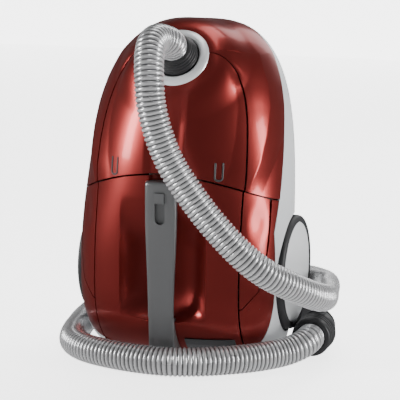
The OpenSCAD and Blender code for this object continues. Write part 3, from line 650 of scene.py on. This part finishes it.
def makeInlet():
    outer = inlet["ring"]
    ring = [(28.4, -12)] + roundCorner(31.6, 2.6, 3.2, 180, 90) + roundCorner(35, -1.2, 6, 80, 4, 9) + [
        (outer - 0.2, -3), (38, -12), (28.4, -12)]
    turned("inletRing", ring, inlet["centre"], inletAxis, "silver_plastic", "lid",
           replaces=["inlet_ring"])
    # black connector: a plain sleeve, three soft ribs and a neck round the hose
    sleeve = [(0, -10.8), (27.1, -10.8), (27.2, 4)] + roundCorner(25.6, 6.2, 1.7, -20, 80)
    ribs = []
    for k in range(4):
        ribs += roundCorner(25.4 - 1.3 * k, 9.8 + 3.6 * k, 1.5, -80, 80, 7)
    neck = [(20.6, 22.3), (19, 22.5), (18.2, 22.0), (18.2, 20), (0, 20)]
    turned("hoseConnector", sleeve + ribs + neck, inlet["centre"], inletAxis, "black_rubber", "lid",
           replaces=["hose_connector"])


def makeWheels():
    w = wheels
    for name, side in (("left", -1), ("right", 1)):
        body = "wheel_" + name
        origin = (side * w["x"], w["y"], w["z"])
        axis = (side, 0, 0)
        r, wide = w["radius"], w["width"]
        tyre = [(r - 8, 0)] + roundCorner(r - 4, 4, 4, -90, 0) + [(r - 0.3, 8), (r - 0.8, 9), (r - 0.3, 10)]
        tyre += [(r, 12), (r, wide - 5)] + roundCorner(r - 4.5, wide - 4.5, 4.5, 0, 90)
        tyre += [(r - 8, wide), (r - 8, 0)]
        turned("tyreBand_" + name, tyre, origin, axis, "tyre_rubber", body,
               replaces=["tyre_" + name])
        cap = [(0, wide - 3), (r - 9, wide - 3), (r - 8.5, wide - 2.9)]
        cap += roundCorner(r - 9.7, wide - 2.1, 1.2, 0, 80)
        # the face is slightly domed
        cap += [(r - 16, wide - 0.7), (48, wide - 0.25), (30, wide - 0.1), (12, wide), (0, wide)]
        turned("hubDisc_" + name, cap, origin, axis, "silver_plastic", body,
               replaces=["hub_cap_" + name])


makeInlet()
makeWheels()
print("inlet and wheels done")

# handle
bar = {"front": -110, "low": 14, "high": 236, "topWidth": 20, "lowWidth": 16.5, "round": 5,
       "foot": 56, "rise": 164}


def makeHandle():
    bend = bar["high"] - bar["round"]
    z = np.concatenate([np.linspace(bar["low"], bend, 150),
                        bend + bar["round"] * np.sin(np.linspace(0.06, 1, 9) * math.pi / 2)])
    # the tail is nearly straight, and the bar rises from it to the grip
    root = float(crestDepth(np.array(float(bar["foot"])))) - 7
    front = np.where(z < bar["foot"], root + (bar["foot"] - z) * 0.1,
                     root + (bar["front"] - root) * np.clip((z - bar["foot"]) / bar["rise"], 0, 1))
    tip = (z - bar["high"] + bar["round"]) / bar["round"]
    front = front + bar["round"] * (1 - np.sqrt(np.maximum(0, 1 - np.clip(tip, 0, 1) ** 2)))
    back = np.where(z > 209, -84, -98) + 0 * z
    back = np.where(z < 66, crestDepth(z) + 10, back)
    width = bar["lowWidth"] + (bar["topWidth"] - bar["lowWidth"]) * ease((z - 70) / 130)
    a = np.linspace(0, 2 * math.pi, 73)[None]
    ca, sa = np.cos(a), np.sin(a)
    x = width[:, None] * np.sign(ca) * np.abs(ca) ** 0.45
    # the face is rounded over the front 6 mm, whatever the depth behind it
    middle = np.minimum(front + 6, (front + back) / 2)[:, None]
    reach = np.where(sa < 0, middle - front[:, None], back[:, None] - middle)
    y = middle + reach * np.sign(sa) * np.abs(sa) ** 0.5
    grid = np.stack([x, y, z[:, None] + 0 * x], -1)
    ends = [grid[:1] * 0 + grid[0].mean(0), grid, grid[-1:] * 0 + grid[-1].mean(0)]
    handle = addMesh("handleBar", [np.concatenate(ends)], "handle_plastic", "root")
    handle.data.set_sharp_from_angle(angle=math.radians(40))
    slot = [((0, bar["front"] + 1, 206.5), (0, 0, 1), (13, 10, 33), 0, 4),
            ((0, bar["front"] + 1, 190), (0, 1, 0), 6.5, 10, 32)]
    cutWith(handle, rodMesh("slotCut", slot), overlapping=True)
    handle.data.set_sharp_from_angle(angle=math.radians(35))
    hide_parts("handle")


makeHandle()


def tubeAlong(path, radii, sides):
    # rings carried along the path; each ring's side is turned as little as possible from the last
    step = np.gradient(path, axis=0)
    t = step / np.linalg.norm(step, axis=1, keepdims=True)
    side = np.cross(t[0], (0, 0, 1) if abs(t[0][2]) < 0.9 else (0, 1, 0))
    sides0 = np.empty_like(path)
    for k in range(len(path)):
        side = side - t[k] * (side @ t[k])
        side = side / np.linalg.norm(side)
        sides0[k] = side
    a = np.linspace(0, 2 * math.pi, sides + 1)[None, :, None]
    other = np.cross(t, sides0)
    ring = np.cos(a) * sides0[:, None] + np.sin(a) * other[:, None]
    return path[:, None] + radii[:, None, None] * ring


def makeLidMarks():
    # a small raised U on each side of the lid, above the seam; its near-black colour is painted shade
    # standing for the shadow along the relief
    u = np.linspace(0, 1, 60)
    bend = np.interp(u, [0, 0.4, 0.6, 1], [0, 1, 2, 3])
    a = (np.clip(bend, 1, 2) - 1) * math.pi
    for name, side in (("left", -1), ("right", 1)):
        x = 67 - 4.2 * np.cos(a)
        arm = np.where(bend < 1, 1 - bend, np.maximum(0, bend - 2))
        z = 242 + 18 * arm - np.where((bend < 1) | (bend > 2), 0, 3.5 * np.sin(a))
        path = pressRelief(casingPoint(angleAtX(side * x, z), z))
        path[:, 1] += 0.2
        grid = tubeAlong(path, np.full(60, 1.3), 10)
        closed = np.concatenate([grid[:1] * 0 + path[0], grid, grid[-1:] * 0 + path[-1]])
        # the dark material here is painted shade, not the mark's own colour
        addMesh("lidMark_" + name, [closed], "dark_plastic", "lid")


makeLidMarks()
print("handle and lid marks done")

# hose
hose = {"radius": 18, "valley": 2.0, "pitch": 5.5, "rings": 6, "sides": 22, "length": 1.55}
hoseRoute = [
    (0, -60, 391), (0, -76, 403), (-8, -97, 409), (-9, -119, 403), (-6, -135, 387),
    (-2, -145, 364), (2, -149, 335), (12, -149, 299), (27, -147, 265), (51, -144, 229),
    (79, -140, 194), (110, -133, 161), (137, -118, 136), (160, -90, 117), (178, -52, 99),
    (183, -14, 88), (177, 22, 83), (168, 60, 79), (154, 112, 77), (104, 148, 73),
    (20, 160, 56), (-70, 152, 34), (-130, 126, 22), (-156, 88, 18.5), (-155, 45, 18.5),
    (-148, 5, 18.5), (-139, -38, 18.5), (-124, -76, 18.5), (-94, -104, 18.5), (-45, -122, 18.5),
    (10, -128, 18.5), (50, -117, 18.5), (87, -94, 18.5), (116, -68, 18.5), (141, -42, 20.5),
    (157, -25, 25.5), (164, -11, 30), (164, 4.6, 30),
]


def smoothRoute(points, each=40):
    # Catmull-Rom curve through the points, then even steps along its length
    p = np.array(points, float)
    p = np.concatenate([[2 * p[0] - p[1]], p, [2 * p[-1] - p[-2]]])
    t = np.linspace(0, 1, each, endpoint=False)[None, :, None]
    a, b, c, d = p[:-3, None], p[1:-2, None], p[2:-1, None], p[3:, None]
    square = (2 * a - 5 * b + 4 * c - d) * t ** 2
    curve = 0.5 * (2 * b + (c - a) * t + square + (3 * b - a - 3 * c + d) * t ** 3)
    curve = np.concatenate([curve.reshape(-1, 3), p[-2:-1]])
    along = np.concatenate([[0], np.cumsum(np.linalg.norm(np.diff(curve, axis=0), axis=1))])
    return curve, along


def makeHose():
    curve, along = smoothRoute(hoseRoute)
    ribs = int(along[-1] / hose["pitch"])
    count = ribs * hose["rings"] + 1
    at = np.linspace(0, along[-1], count)
    path = np.stack([np.interp(at, along, curve[:, k]) for k in range(3)], -1)
    # round ribs: the radius follows the upper part of a cosine, with narrow valleys
    wave = np.abs(np.cos(math.pi * np.arange(count) / hose["rings"])) ** 0.7
    radii = hose["radius"] - hose["valley"] * (1 - wave)
    grid = tubeAlong(path, radii, hose["sides"])
    closed = np.concatenate([grid[:1] * 0 + path[0], grid, grid[-1:] * 0 + path[-1]])
    tube = addMesh("suctionHose", [closed], "hose_plastic", None)
    # rib attribute: 1 on the crests, 0 in the valleys, found from the distance to the centre line; it places
    # the painted shade in the valleys
    rows = np.concatenate([[radii[0]], np.repeat(radii, hose["sides"]), [radii[-1]]])
    shade = tube.data.attributes.new("rib", "FLOAT", "POINT")
    level = np.clip((rows - hose["radius"] + hose["valley"]) / hose["valley"], 0, 1)
    shade.data.foreach_set("value", level[:len(tube.data.vertices)].astype(np.float32))
    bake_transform(tube)
    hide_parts("hose_upper", "hose_bend", "hose_lower")
    return tube, path


hoseTube, hosePath = makeHose()


def makeEndCuff():
    # black cuff with a rounded lip and two shallow rings, along +Y from the end of the hose
    cuff = [(0, 1), (18.5, 1), (19.5, 0)] + roundCorner(22.5, 2.5, 2.5, -90, 0)
    for h in (12, 18, 24):
        cuff += [(25, h - 1.2), (24.2, h), (25, h + 1.2)]
    cuff += roundCorner(22, 33, 3, 0, 90) + [(0, 36)]
    return turned("endCuff", cuff, (164, 5, 30), (0, 1, 0), "black_rubber", "root",
                  replaces=["hose_end_cuff"])


endCuff = makeEndCuff()
print("hose done, mm:", round(float(np.linalg.norm(np.diff(hosePath, axis=0), axis=1).sum())))

# dust bag


def makeBag():
    low, high = (np.array(c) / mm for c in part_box("dust_bag"))
    middle, half = (low + high) / 2, (high - low) / 2
    v = np.linspace(-math.pi / 2, math.pi / 2, 70)[:, None]
    u = np.linspace(0, 2 * math.pi, 141)[None]

    def power(value, p):
        return np.sign(value) * np.abs(value) ** p

    # a pillow: superellipsoid with soft folds that deepen towards its rim
    fold = 1 - 0.02 * np.cos(9 * u) * np.cos(v) ** 2 - 0.015 * np.sin(5 * u + 3 * v)
    x = half[0] * power(np.cos(v), 0.55) * power(np.cos(u), 0.5) * fold * 0.97
    y = half[1] * power(np.cos(v), 0.7) * power(np.sin(u), 0.7) * fold * 0.94
    z = half[2] * power(np.sin(v), 0.7) * 0.97
    y = y * (1 - 0.25 * ease(z / half[2])) + 6 * ease(z / half[2])
    grid = middle + np.stack([x, y, z + 0 * x], -1)
    bag = addMesh("fleeceBag", [grid], "bag_paper", "root")
    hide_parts("dust_bag")


makeBag()
print("dust bag done")

# floor


def makeStagePlane(name, corners, glow):
    mesh = bpy.data.meshes.new(name)
    mesh.from_pydata(corners, [], [(0, 1, 2, 3)])
    material = bpy.data.materials.new(name)
    material.use_nodes = True
    shader = material.node_tree.nodes["Principled BSDF"]
    tone = studio["floor"]
    shader.inputs["Base Color"].default_value = (tone, tone, tone, 1)
    shader.inputs["Roughness"].default_value = 0.7
    shader.inputs["Emission Color"].default_value = (1, 1, 1, 1)
    shader.inputs["Emission Strength"].default_value = glow
    mesh.materials.append(material)
    obj = bpy.data.objects.new(name, mesh)
    bpy.context.collection.objects.link(obj)
    obj.visible_glossy = False  # keeps the dark edges of the gloss


def makeStage():
    # a pale floor that runs back to a lit wall
    r, low = 8, -0.0002
    makeStagePlane("floor", [(-r, -r, low), (r, -r, low), (r, 4, low), (-r, 4, low)], studio["floorGlow"])
    makeStagePlane("backdrop", [(-r, 4, low), (r, 4, low), (r, 4, 6), (-r, 4, 6)], studio["backdrop"])


makeStage()
